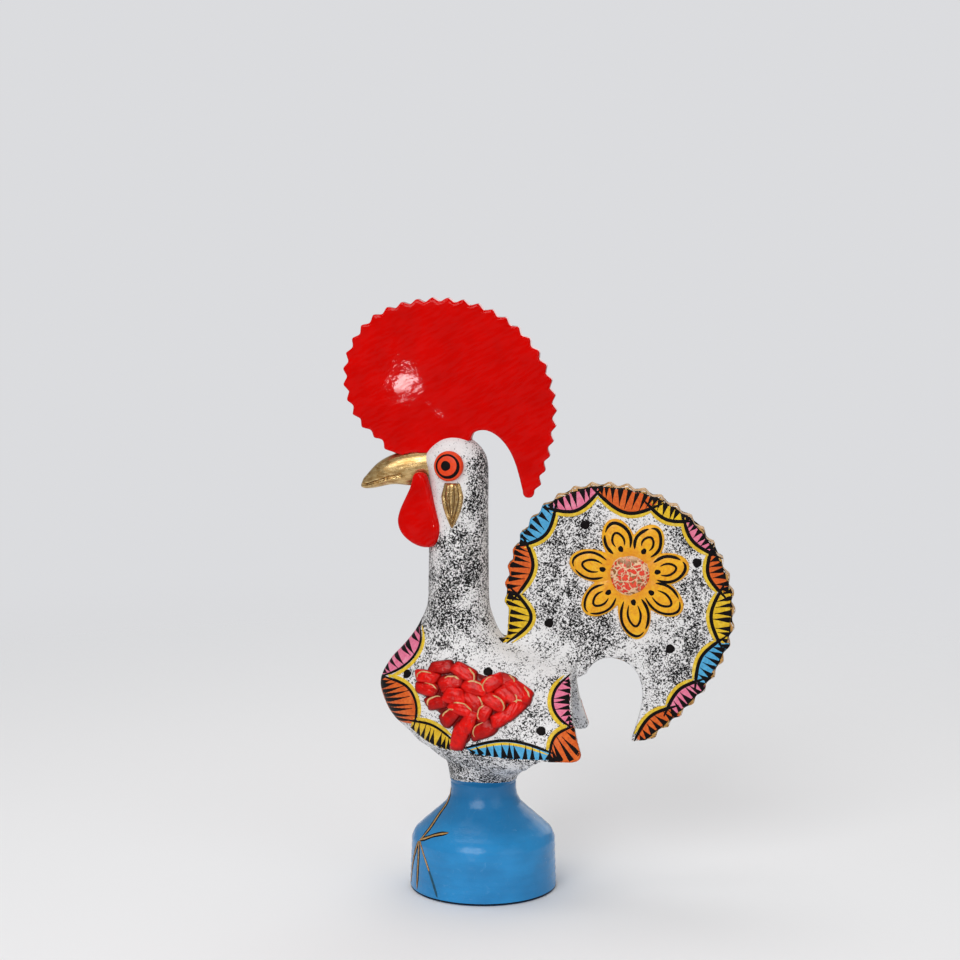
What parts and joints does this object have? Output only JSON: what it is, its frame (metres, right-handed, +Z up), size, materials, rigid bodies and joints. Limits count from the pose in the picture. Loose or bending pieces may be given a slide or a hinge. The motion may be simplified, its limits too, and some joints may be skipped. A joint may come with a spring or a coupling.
{
  "type": "rooster ornament",
  "caption": "Painted clay rooster ornament on a hollow bell pedestal, with a toothed comb and tail, inlaid wings and raised slip flowers and hearts; stands on a flat foot ring.",
  "frame": {"origin": "centre of the pedestal's foot ring, on the surface the ornament stands on", "axes": "+Z up, -X towards the beak, +X towards the tail, -Y towards the rooster's left side"},
  "size_m": [0.1315, 0.052, 0.2],
  "materials": {
    "blue_gloss": "glossy blue paint over clay",
    "speckled_white": "satin off-white with sponged black speckle",
    "comb_red": "brushed glossy red paint",
    "gold_paint": "brushed metallic gold paint over clay",
    "eye_orange": "glossy orange-red paint with a black ring and pupil",
    "flower_yellow": "glossy golden-yellow paint with black outlines",
    "boss_orange": "glossy orange-red paint with gold squiggles",
    "heart_red": "glossy red slip dabs with gold streaks"
  },
  "bodies": {
    "root": {"pedestal": "blue_gloss", "body_left": "speckled_white", "body_right": "speckled_white", "wing_left": "speckled_white", "wing_right": "speckled_white", "tail": "speckled_white", "comb": "comb_red", "beak": "gold_paint", "wattle_left": "comb_red", "wattle_right": "comb_red", "eye_left": "eye_orange", "eye_right": "eye_orange", "ear_lobe_left": "gold_paint", "ear_lobe_right": "gold_paint", "tail_flower_left": "flower_yellow", "tail_flower_right": "flower_yellow", "flower_boss_left": "boss_orange", "flower_boss_right": "boss_orange", "heart_left": "heart_red", "heart_right": "heart_red"}
  },
  "joints": []
}
